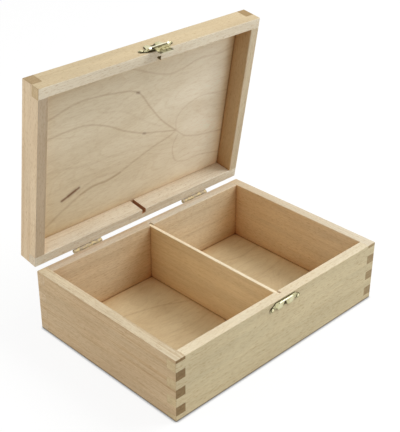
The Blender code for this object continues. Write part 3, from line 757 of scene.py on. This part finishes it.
class Graph:
    """A short way to write the nodes of a material or of the world."""

    def __init__(self, owner):
        owner.use_nodes = True
        self.owner = owner
        self.tree = owner.node_tree

    def node(self, kind, inputs=None, **settings):
        made = self.tree.nodes.new(kind)
        for key, value in settings.items():
            setattr(made, key, value)
        for key, value in (inputs or {}).items():
            self.feed(made.inputs[key], value)
        return made

    def feed(self, socket, value):
        if isinstance(value, bpy.types.NodeSocket):
            self.tree.links.new(value, socket)
        elif socket.type == "RGBA":
            socket.default_value = (*value, 1)
        else:
            socket.default_value = value

    def math(self, operation, *values):
        return self.node("ShaderNodeMath", dict(enumerate(values)), operation=operation).outputs[0]

    def times(self, first, second):
        return self.math("MULTIPLY", first, second)

    def noise(self, place, scale, detail, roughness, distortion=0.0):
        """Noise with its own scale, in waves per millimetre, along each axis."""
        mapped = self.node("ShaderNodeMapping", {"Vector": place, "Scale": scale})
        values = {"Vector": mapped.outputs[0], "Scale": 1.0, "Detail": detail, "Roughness": roughness}
        return self.node("ShaderNodeTexNoise", {**values, "Distortion": distortion}).outputs["Fac"]

    def attribute(self, name):
        return self.node("ShaderNodeAttribute", attribute_name=name).outputs["Fac"]

    def openness(self, reach):
        return self.node("ShaderNodeAmbientOcclusion", {"Distance": reach}, samples=8).outputs["AO"]

    def split(self, vector):
        return self.node("ShaderNodeSeparateXYZ", {"Vector": vector}).outputs

    def ramp(self, value, low, high, out_low=0.0, out_high=1.0):
        values = {"Value": value, "From Min": low, "From Max": high, "To Min": out_low, "To Max": out_high}
        return self.node("ShaderNodeMapRange", values, interpolation_type="SMOOTHSTEP").outputs[0]

    def mix(self, amount, first, second, blend="MIX"):
        made = self.node("ShaderNodeMix", {"Factor": amount}, data_type="RGBA", blend_type=blend)
        colours = [socket for socket in made.inputs if socket.type == "RGBA"]
        self.feed(colours[0], first)
        self.feed(colours[1], second)
        return [socket for socket in made.outputs if socket.type == "RGBA"][0]

    def shade(self, colour, amount, tint):
        """The colour, changed towards a tint of itself by an amount."""
        return self.mix(amount, colour, self.mix(1.0, colour, tint, "MULTIPLY"))

    def shades(self, colour, measures, rows):
        """The colour under rows of shades: measure, where it starts and is full, strength, tint and masks."""
        for measure, start, full, strength, tint, *masks in rows:
            amount = self.ramp(measures[measure], start, full, 0.0, strength)
            for mask, *span in masks:
                mask = measures[mask]
                amount = self.times(amount, self.ramp(mask, *span) if span else mask)
            colour = self.shade(colour, amount, tint)
        return colour

    def finish(self, colour, roughness, relief, bump, more):
        """The finished material; bump is strength and depth, and more is fed to the shader as it is."""
        strength, depth = bump
        bumped = self.node("ShaderNodeBump", {"Strength": strength, "Distance": depth, "Height": relief})
        values = {"Base Color": colour, "Roughness": roughness, "Normal": bumped.outputs[0], **more}
        for key, value in values.items():
            self.feed(self.tree.nodes["Principled BSDF"].inputs[key], value)
        return self.owner


SEED_STEPS = (97, 13, 7)


def grained(graph, seed):
    """The piece's own coordinates, and its place in millimetres moved by a seed, so that no two match."""
    here = graph.node("ShaderNodeTexCoord").outputs
    shift = [seed * part for part in SEED_STEPS]
    values = {"Vector": here["Object"], "Scale": [PER_METRE] * 3, "Location": shift}
    return here, graph.node("ShaderNodeMapping", values).outputs[0]


OPENNESS = {"open_wide": 0.022, "open_near": 0.009, "open_close": 0.0025}
BROAD_RANGE = (0.30, 0.72)


def wooden(name, seed, noises, light, dark):
    """A wooden material's nodes, what its shades follow (places in millimetres) and its plain colour."""
    graph = Graph(bpy.data.materials.new(name))
    here, place = grained(graph, seed)
    parts = graph.split(here["Object"])
    facing = graph.split(here["Normal"])
    measures = {"everywhere": 1.0, "facing": facing["Z"], "end": graph.math("ABSOLUTE", facing["X"])}
    for way, axis in (("along", "X"), ("across", "Y"), ("height", "Z")):
        measures[way] = graph.times(parts[axis], PER_METRE)
    for kind, reach in OPENNESS.items():
        measures[kind] = graph.openness(reach)
    for kind, values in noises.items():
        measures[kind] = graph.noise(place, *values)
    return graph, measures, graph.mix(graph.ramp(measures["broad"], *BROAD_RANGE), light, dark)


def painted_corner_shade(seam_shade, inside_shade):
    """Painted shade on the wood: a little warmer inside the box, and brown in the corners and where boards
    meet.
    """
    return (
        ("open_wide", 0.92, 0.30, inside_shade, (0.88, 0.76, 0.62), ("within",)),
        ("open_near", 0.72, 0.30, seam_shade, (0.88, 0.68, 0.50), ("within",)),
        ("open_close", 0.72, 0.30, seam_shade, (0.50, 0.36, 0.23)),
    )


OUTER_SKIN = 0.0008


def behind_faces(graph, measures, end_board):
    """1 on a board but for its outer faces, which stay clear of the shades of corners."""
    ways = ("across", "along") if end_board else ("along", "across")
    spans = [PER_METRE * (reach - OUTER_SKIN) for reach in (HALF_LENGTH, HALF_WIDTH)]
    return graph.times(*(graph.math("COMPARE", measures[way], 0.0, span) for way, span in zip(ways, spans)))


SLOT_SLACK = 0.03


def in_slot(graph, measures):
    """1 inside the dados of a long board, which are cut into its inner face at the middle."""
    half_slot = PER_METRE * (DIVIDER / 2 + DADO_PLAY) + SLOT_SLACK
    half_depth = PER_METRE * DADO_DEPTH / 2
    middle = PER_METRE * INNER_Y + half_depth + SLOT_SLACK
    between = graph.math("COMPARE", measures["along"], 0.0, half_slot)
    deep = graph.math("COMPARE", graph.math("ABSOLUTE", measures["across"]), middle, half_depth)
    return graph.times(between, deep)


# Noises: scale, detail, roughness and distortion

WOOD_NOISES = {
    "broad": ((0.010, 0.11, 0.11), 3.0, 0.55, 0.3),
    "fibre": ((0.05, 1.5, 1.5), 3.0, 0.6),
    "fine": ((0.35, 3.2, 3.2), 2.0, 0.5),
    "growth": ((0.006, 0.38, 0.38), 2.0, 0.45, 0.2),
    "blotch": ((0.03, 0.05, 0.05), 2.0, 0.5),
    "spots": ((0.4, 2.4, 2.4), 3.0, 0.6),
    "rings": ((0.05, 0.25, 1.2), 2.0, 0.5, 0.4),
}
VENEER_NOISES = {
    "broad": ((0.014, 0.045, 0.045), 3.0, 0.5, 0.6),
    "silk": ((0.22, 0.95, 0.95), 3.0, 0.6, 0.3),
    "fine": ((0.45, 2.6, 2.6), 2.0, 0.5),
    "hills": ((0.010, 0.026, 0.026), 1.0, 0.4, 0.8),
}
METAL_NOISES = {
    "uneven": ((0.9, 0.9, 0.9), 3.0, 0.6),
    "scratch": ((0.6, 9.0, 9.0), 2.0, 0.6),
    "stain": ((0.42, 0.42, 0.42), 3.0, 0.6),
    "fleck": ((0.9, 0.9, 0.9), 2.0, 0.5),
    "spot": ((0.55, 0.55, 0.55), 2.0, 0.5),
}

DARKER = 0.89
FACING = (0.55, 0.9)
FACING_AWAY = (-0.55, -0.9)
PALE_END = (0.95, 0.90, 0.84)
BAY_WIDTH = PER_METRE * INNER_X
WOOD_ROUGHNESS = (0.2, 0.8, 0.58, 0.72)
WOOD_BUMP = (0.35, 0.00006)


def wood(name, light, seed, shades, end=PALE_END, slot=None, end_board=None, seam_shade=1, figure=1, flecks=1):
    """Fine pale hardwood: figure and fibres along the grain, flecks, growth lines and darker end grain."""
    dark = [part * DARKER for part in light]
    graph, measures, colour = wooden(name, seed, WOOD_NOISES, light, dark)
    measures["bay"] = graph.math("FLOORED_MODULO", measures["along"], BAY_WIDTH)
    measures["within"] = 1.0 if end_board is None else behind_faces(graph, measures, end_board)
    rows = (
        ("fibre", 0.35, 0.80, 0.50 * figure, (0.80, 0.74, 0.66)),
        ("fine", 0.55, 0.68, 0.90 * flecks, (0.78, 0.69, 0.58)),
        ("fine", 0.45, 0.32, 0.60 * flecks, (1.10, 1.10, 1.12)),
        ("growth", 0.600, 0.640, 0.35 * figure * flecks, (0.82, 0.74, 0.64)),
        ("blotch", 0.40, 0.75, 0.50, (0.94, 0.90, 0.86)),
    )
    end_rows = (
        ("everywhere", 0.0, 1.0, 1.0, end),
        ("rings", 0.42, 0.62, 0.50, (0.80, 0.74, 0.68)),
        ("spots", 0.50, 0.68, 0.50, (0.70, 0.64, 0.58)),
    )
    colour = graph.shades(colour, measures, (*rows, *shades))
    at_end = graph.ramp(measures["end"], *FACING)
    colour = graph.mix(at_end, colour, graph.shades(colour, measures, end_rows))
    # Painted shade in the corners and where boards meet, with a warmer painted shade inside the box
    colour = graph.shades(colour, measures, painted_corner_shade(seam_shade, seam_shade))
    # Painted shade in the dados, one flat colour over each
    if slot:
        colour = graph.mix(in_slot(graph, measures), colour, slot)
    rough = graph.ramp(measures["fibre"], *WOOD_ROUGHNESS)
    relief = graph.math("ADD", measures["fibre"], graph.times(measures["fine"], 0.8))
    return graph.finish(colour, rough, relief, WOOD_BUMP, {"Specular IOR Level": 0.30})


# Strength of the painted corner shade on the lid's panel and on all its boards but the right one
LID_SEAM_SHADE = 0.45
CONTOURS = 16.0
LINE_TINT = (0.62, 0.50, 0.38)
KNOT_TINT = (0.22, 0.09, 0.045)
INSIDE_FACING = (-0.4, -0.6)
OUTSIDE_FACING = (0.4, 0.6)
LID_OUTSIDE_TONE = (0.88, 0.80, 0.66)
VENEER_ROUGHNESS = (0.2, 0.8, 0.54, 0.70)
VENEER_BUMP = (0.30, 0.00006)


def veneer(name, light, dark, seed, shades, lid=False):
    """Peeled veneer: silky mottle, wandering figure, growth lines painted on the mesh, a streak and knots."""
    graph, measures, colour = wooden(name, seed, VENEER_NOISES, light, dark)
    measures["contour"] = graph.math("FRACT", graph.times(measures["hills"], CONTOURS))
    measures["within"] = 1.0
    if lid:
        measures["inner"] = graph.ramp(measures["facing"], *INSIDE_FACING)
    else:
        border_x = graph.math("SUBTRACT", graph.math("ABSOLUTE", measures["along"]), PER_METRE * INNER_X)
        border_y = graph.math("SUBTRACT", graph.math("ABSOLUTE", measures["across"]), PER_METRE * INNER_Y)
        measures["border"] = graph.math("MAXIMUM", border_x, border_y)
    rows = (
        ("silk", 0.46, 0.74, 0.55, (0.86, 0.81, 0.74)),
        ("silk", 0.44, 0.26, 0.50, (1.08, 1.09, 1.12)),
        ("fine", 0.55, 0.72, 0.35, (0.82, 0.75, 0.66)),
        ("contour", 0.55, 1.0, 0.16, (0.76, 0.66, 0.56)),
        *shades,
        # Painted shade in the panel's corners, with a warmer painted shade inside the box
        *painted_corner_shade(LID_SEAM_SHADE if lid else 1.0, 1.0),
    )
    colour = graph.shades(colour, measures, rows)
    line = graph.attribute("line")
    if lid:
        line = graph.math("MAXIMUM", line, graph.attribute("outside_line"))
        colour = graph.shade(colour, graph.ramp(measures["facing"], *OUTSIDE_FACING), LID_OUTSIDE_TONE)
    colour = graph.shade(colour, line, LINE_TINT)
    colour = graph.shade(colour, graph.attribute("knot"), KNOT_TINT)
    rough = graph.ramp(measures["silk"], *VENEER_ROUGHNESS)
    relief = graph.math("ADD", measures["silk"], graph.times(measures["fine"], 0.6))
    return graph.finish(colour, rough, relief, VENEER_BUMP, {"Specular IOR Level": 0.32})


METAL_BUMP = (0.5, 0.00012)
# Painted shade in the metals' recesses: how far round a point is searched, how open it is where the shade
# starts and is full
RECESS = (0.0022, 0.80, 0.25)
STAMPED_RECESS = (0.0016, 0.82, 0.35)
KNUCKLE_REACH = (0.0024, 0.0017)
KNUCKLE_TONES = ((0.68, 0.56, 0.31), (0.50, 0.41, 0.285))
KNUCKLE_ROUGHNESS = 0.70
KNUCKLE_METALLIC = 0.35
KNUCKLE_RECESS = 0.15
# Colour of the painted highlight with polished brass
POLISH_AND_HIGHLIGHT = (0.96, 0.92, 0.70)
# Colour of the painted shade with tarnished brass
TARNISH_AND_SHADE = (0.055, 0.040, 0.014)


def sheet(name, roughness, seed, recess, kinds):
    """What all the metals share: nodes, coordinates, noises, roughness, fine relief and recesses."""
    graph = Graph(bpy.data.materials.new(name))
    here, place = grained(graph, seed)
    measures = {kind: graph.noise(place, *METAL_NOISES[kind]) for kind in ("uneven", "scratch", *kinds)}
    rough = graph.ramp(measures["scratch"], 0.3, 0.7, roughness - 0.06, roughness + 0.10)
    relief = graph.math("ADD", measures["uneven"], graph.times(measures["scratch"], 0.15))
    reach, *span = recess
    return graph, here, measures, rough, relief, graph.ramp(graph.openness(reach), *span)


def metal(name, tone, dark, roughness, seed, shade_and_tarnish_amount=0.92, knuckle=False):
    """Thin plated sheet: a little uneven and dark with painted shade and tarnished colour in its recesses,
    with a hinge's knuckle rubbed dull.
    """
    kinds = ("spot",) if knuckle else ()
    graph, here, measures, rough, relief, recess = sheet(name, roughness, seed, (*RECESS, 0.0, shade_and_tarnish_amount), kinds)
    colour = graph.shades(tone, measures, [("uneven", 0.40, 0.75, 0.45, (0.78, 0.74, 0.62))])
    metallic = 1.0
    if knuckle:
        flat = graph.node("ShaderNodeVectorMath", {0: here["Object"], 1: (0, 1, 1)}, operation="MULTIPLY")
        far = graph.node("ShaderNodeVectorMath", {0: flat.outputs[0], 1: HINGE_AXIS}, operation="DISTANCE")
        rolled = graph.ramp(far.outputs["Value"], *KNUCKLE_REACH)
        worn_tone = graph.mix(graph.ramp(measures["spot"], 0.46, 0.56), *KNUCKLE_TONES)
        colour = graph.mix(rolled, colour, worn_tone)
        rough = graph.math("MAXIMUM", rough, graph.times(rolled, KNUCKLE_ROUGHNESS))
        recess = graph.times(recess, graph.ramp(rolled, 0.0, 1.0, 1.0, KNUCKLE_RECESS))
        metallic = graph.ramp(rolled, 0.0, 1.0, 1.0, KNUCKLE_METALLIC)
    return graph.finish(graph.mix(recess, colour, dark), rough, relief, METAL_BUMP, {"Metallic": metallic})


def stamped(name, tone, roughness, seed, flecked=0.0):
    """Stamped and plated sheet: polished and painted with highlight where it stands out, tarnished and
    painted with shade in hollows and on cut edges.
    """
    kinds = ("stain", "fleck")
    graph, _, measures, rough, relief, recess = sheet(name, roughness, seed, STAMPED_RECESS, kinds)
    polish_and_highlight = graph.attribute("polish_and_highlight")
    measures["off_polish_and_highlight"] = graph.math("SUBTRACT", 1.0, polish_and_highlight)
    # Cut edges away from the painted highlight take painted shade
    cut_edge = graph.times(graph.attribute("cut"), measures["off_polish_and_highlight"])
    shade_and_tarnish_amount = graph.math("MAXIMUM", graph.math("MAXIMUM", graph.attribute("tarnish_and_shade"), cut_edge), recess)
    rows = (
        ("stain", 0.50, 0.72, 0.55, (0.62, 0.62, 0.62), ("off_polish_and_highlight",)),
        ("uneven", 0.40, 0.75, 0.50, (0.80, 0.77, 0.66)),
        ("fleck", 0.49, 0.57, flecked, (0.40, 0.35, 0.24)),
    )
    # Painted highlight where the sheet stands out, and painted shade with the tarnished colour in hollows, on
    # cut edges and in recesses
    colour = graph.mix(polish_and_highlight, graph.shades(tone, measures, rows), POLISH_AND_HIGHLIGHT)
    colour = graph.mix(shade_and_tarnish_amount, colour, TARNISH_AND_SHADE)
    rough = graph.math("ADD", rough, graph.times(shade_and_tarnish_amount, 0.3))
    return graph.finish(colour, rough, relief, METAL_BUMP, {"Metallic": 1.0})


def assign(obj, material):
    if not obj.material_slots:
        obj.data.materials.append(None)
    for slot in obj.material_slots:
        slot.link = "OBJECT"
        slot.material = material


# Making the pieces

base_pieces = boards("base", 0.0, BASE_TOP, BASE_TOP, 0.0, 0.0)
lid_pieces = boards("lid", LID_BOTTOM, LID_TOP, LID_BOTTOM, LID_TOP, BASE_TOP + SAW_CUT)
LID_INSIDE = LID_TOP - PANEL
lid_lines = [
    ("line", LID_INSIDE, LID_LINES),
    ("outside_line", LID_TOP, LID_OUTSIDE_LINES),
    ("knot", LID_INSIDE, LID_KNOTS),
]
floor_piece = panel("base_floor", "base", 0, PANEL, None, [("line", PANEL, FLOOR_LINES)])
panel_piece = panel("lid_panel", "lid", LID_INSIDE, LID_TOP, OPEN, lid_lines)
divider_piece = divider()
keeper_piece = keeper_sheet()
lid_plate_piece = lid_sheet()
flap_piece = flap_sheet()

# Each board's light tone, seed, tint of its rim (painted light on the rim faces), strength of its figure and
# tint of its end grain

LOOKS = {
    "base_front": ((0.75, 0.64, 0.405), 1, (1.19, 1.22, 1.39), 0.55, PALE_END),
    "base_back": ((0.80, 0.66, 0.46), 2, (0.90, 0.95, 1.09), 0.9, PALE_END),
    "base_left": ((0.65, 0.48, 0.285), 3, (1.20, 1.39, 1.66), 1.7, (0.53, 0.49, 0.38)),
    "base_right": ((0.80, 0.61, 0.38), 4, (0.98, 1.11, 1.32), 0.8, (0.58, 0.56, 0.47)),
    "lid_front": ((0.73, 0.59, 0.37), 5, (1.27, 1.42, 1.78), 0.55, PALE_END),
    "lid_back": ((0.88, 0.80, 0.65), 6, (1.00, 1.04, 1.08), 1.0, PALE_END),
    "lid_left": ((0.81, 0.64, 0.43), 7, (0.79, 0.81, 0.86), 1.0, (0.62, 0.58, 0.47)),
    # lid_right's dark, warm tone is partly its own colour and partly painted shade on its inner face, and its
    # strong rim tint brings the rim back up
    "lid_right": ((0.59, 0.42, 0.235), 8, (1.22, 1.46, 1.82), 0.8, (0.82, 0.80, 0.68)),
}
LID_OUTSIDE_WOOD = (0.78, 0.64, 0.42)
# Colours painted over the dados as their shade: dark in the lid's, lighter in the base's
SLOT_SHADE = {
    "base_front": (0.80, 0.68, 0.50),
    "base_back": (0.85, 0.76, 0.60),
    "lid_front": (0.20, 0.155, 0.065),
    "lid_back": (0.44, 0.22, 0.11),
}

# Shades of single boards: painted light and shade drifting along or up them, and painted shade at the base's
# foot and in the back board's low corners

# Painted shade along the base's bottom edge, where it meets the floor
FOOT_SHADE = ("height", 1.15, 0.45, 1.0, (0.27, 0.235, 0.17))
LOW = ("height", 50.0, 15.0, 0.35, 1.0)
BOARD_SHADES = {
    "base_back": (
        # Painted light: lighter over the right-hand compartment
        ("along", -25.0, 15.0, 1.0, (1.07, 1.12, 1.17)),
        # Painted shade low in the right-hand corner of each compartment
        ("bay", BAY_WIDTH - 38, BAY_WIDTH - 4, 1.0, (0.93, 0.80, 0.64), ("within",), LOW),
    ),
    "base_right": (
        ("along", 5.0, 50.0, 1.0, (0.96, 0.92, 0.88)),
        ("along", 0.0, -50.0, 1.0, (1.02, 1.05, 1.09)),
    ),
    "base_left": (
        ("along", 5.0, 50.0, 1.0, (1.03, 1.04, 1.05)),
        ("height", 36.0, 8.0, 1.0, (1.05, 1.06, 1.08)),
    ),
}
for owner, pieces in (("base", base_pieces), ("lid", lid_pieces)):
    for side, piece in pieces.items():
        name = f"{owner}_{side}"
        light, seed, rim, figure, end = LOOKS[name]
        shades = list(BOARD_SHADES.get(name, ()))
        # Painted light: faces that look up on the base, and the lid's rims, take the rim tint
        if owner == "base":
            shades += [("facing", *FACING, 1.0, rim), FOOT_SHADE]
        else:
            outer = [wanted / part for wanted, part in zip(LID_OUTSIDE_WOOD, light)]
            shades += [("facing", *FACING, 1.0, outer), ("facing", *FACING_AWAY, 1.0, rim)]
        seam_shade = LID_SEAM_SHADE if owner == "lid" and side != "right" else 1.0
        end_board = side in ("left", "right")
        tone = wood(f"{name}_wood", light, seed, shades, end, SLOT_SHADE.get(name), end_board, seam_shade, figure)
        assign(piece, tone)
# Painted light: the divider's top edge is drawn much paler than its sides
DIVIDER_TOP = ("facing", *FACING, 1.0, (1.32, 1.54, 2.05))
divider_wood = wood("divider_wood", (0.81, 0.61, 0.34), 9, [DIVIDER_TOP], seam_shade=0.7, flecks=0.6)
assign(divider_piece, divider_wood)

# Shades of the panels: painted shade in the floor's seam, and inside the lid painted light and shade that
# drift and a painted shadow at the right end

FLOOR_SHADES = [("border", -1.0, -0.25, 0.45, (0.40, 0.27, 0.17))]
LID_SHADES = [
    ("along", -10.0, 90.0, 1.0, (1.20, 1.24, 1.34), ("inner",)),
    ("along", 10.0, -80.0, 1.0, (0.88, 0.85, 0.78), ("inner",), ("across", -20.0, 54.0)),
    ("along", 71.0, 80.5, 0.8, (0.52, 0.42, 0.28), ("inner",), ("across", 70.0, -40.0)),
    ("along", 79.2, 80.4, 0.8, (0.60, 0.50, 0.34), ("inner",)),
]
assign(floor_piece, veneer("floor_veneer", (0.82, 0.68, 0.435), (0.74, 0.59, 0.36), 10, FLOOR_SHADES))
assign(panel_piece, veneer("lid_veneer", (0.90, 0.81, 0.62), (0.82, 0.72, 0.53), 11, LID_SHADES, lid=True))

# Each metal's second colour is the painted shade in its recesses
BRASS = metal("pale_brass", (0.80, 0.74, 0.47), (0.10, 0.08, 0.03), 0.26, 12)
HINGE_BRASS = metal("hinge_brass", (0.66, 0.54, 0.30), (0.28, 0.20, 0.115), 0.30, 14, shade_and_tarnish_amount=0.5, knuckle=True)
STEEL = metal("plated_steel", (0.72, 0.68, 0.56), (0.12, 0.10, 0.07), 0.30, 13)
STAMPED_BRASS = stamped("stamped_brass", (0.62, 0.58, 0.34), 0.30, 15)
# The flap's darker tone and dark flecks are a painted reflection of the wood
FLAP_BRASS = stamped("flap_brass", (0.47, 0.43, 0.235), 0.34, 16, flecked=0.9)
assign(keeper_piece, STAMPED_BRASS)
assign(lid_plate_piece, STAMPED_BRASS)
assign(flap_piece, FLAP_BRASS)
for name, node in frame["nodes"].items():
    if name.startswith("hinge_"):
        assign(node, HINGE_BRASS)
    elif name.startswith("clasp_"):
        assign(node, STEEL if name == "clasp_pin" else BRASS)

# Camera, at the photograph's angle, fitted to the corners of the box

AZIMUTH = math.radians(-44.749)
ELEVATION = math.radians(29.575)
ROLL = math.radians(0.337)
TARGET = (0.0502, 0.0601, 0.02625)
DISTANCE = 0.675
FOCAL_LENGTH = 80.357
SENSOR_WIDTH = 36
NEAREST = 0.01

scene = bpy.context.scene
turn = Euler((math.pi / 2 - ELEVATION, 0, AZIMUTH)).to_matrix().to_4x4() @ Matrix.Rotation(ROLL, 4, "Z")
place = Matrix.Translation(TARGET) @ turn @ Matrix.Translation((0, 0, DISTANCE))
camera_data = bpy.data.cameras.new("camera")
camera_data.sensor_width = SENSOR_WIDTH
camera_data.lens = FOCAL_LENGTH
camera_data.clip_start = NEAREST
camera = link("camera", camera_data, place)
scene.camera = camera
scene.view_settings.view_transform = "Standard"

# Light: a soft white surrounding, a wide lamp high on the right and a lower one at the back left


def lamp(name, place, aim, size, power):
    data = bpy.data.lights.new(name, "AREA")
    data.shape = "SQUARE"
    data.size = size
    data.energy = power
    turn = (Vector(aim) - Vector(place)).to_track_quat("-Z", "Y").to_matrix().to_4x4()
    link(name, data, Matrix.Translation(place) @ turn)


lamp("key", place=(0.80, -0.35, 0.95), aim=(0, 0.02, 0.05), size=0.75, power=10.5)
lamp("back_left", place=(-0.85, 0.45, 0.40), aim=(0, 0.02, 0.08), size=0.6, power=2.8)


def seen(graph):
    """1 for rays from the camera, in reflections and through glass, and 0 for rays that light the object."""
    rays = graph.node("ShaderNodeLightPath").outputs
    shown = graph.math("MAXIMUM", rays["Is Camera Ray"], rays["Is Glossy Ray"])
    return graph.math("MAXIMUM", shown, rays["Is Transmission Ray"])


FILL = 0.49
sky = Graph(bpy.data.worlds.new("studio"))
scene.world = sky.owner
background = sky.tree.nodes["Background"].inputs
sky.feed(background["Color"], (1, 1, 1))
sky.feed(background["Strength"], sky.ramp(seen(sky), 0.0, 1.0, FILL, 1.0))

# Floor: plain and pale, white to the camera but for the object's own faint shadow and a painted contact
# shadow where it stands

FLOOR_SIZE = 6.0
FLOOR_HEIGHT = -0.0002
FLOOR_COLOUR = (0.74, 0.74, 0.73)
FLOOR_SHADOWED = (0.15, 0.15, 0.15)
FLOOR_GLOW = 0.87
CONTACT_REACH = 0.0022
CONTACT_RANGE = (0.35, 0.95, 0.25, FLOOR_GLOW)
floor_shape = bmesh.new()
bmesh.ops.create_grid(floor_shape, x_segments=4, y_segments=4, size=FLOOR_SIZE / 2)
floor_place = Matrix.Translation((0, 0, FLOOR_HEIGHT))
studio_floor = link("studio_floor", mesh_from("studio_floor", floor_shape), floor_place)
ground = Graph(bpy.data.materials.new("studio_floor"))
# Painted contact shadow: the floor's glow dims close to the box
contact = ground.ramp(ground.openness(CONTACT_REACH), *CONTACT_RANGE)
glow = ground.node("ShaderNodeEmission", {"Strength": contact}).outputs[0]
shadowed = ground.node("ShaderNodeBsdfDiffuse", {"Color": FLOOR_SHADOWED}).outputs[0]
bright = ground.node("ShaderNodeAddShader", {0: glow, 1: shadowed}).outputs[0]
pale = ground.node("ShaderNodeBsdfDiffuse", {"Color": FLOOR_COLOUR}).outputs[0]
either = ground.node("ShaderNodeMixShader", {0: seen(ground), 1: pale, 2: bright}).outputs[0]
ground.feed(ground.tree.nodes["Material Output"].inputs["Surface"], either)
ground.tree.nodes.remove(ground.tree.nodes["Principled BSDF"])
assign(studio_floor, ground.owner)

bpy.context.view_layer.update()
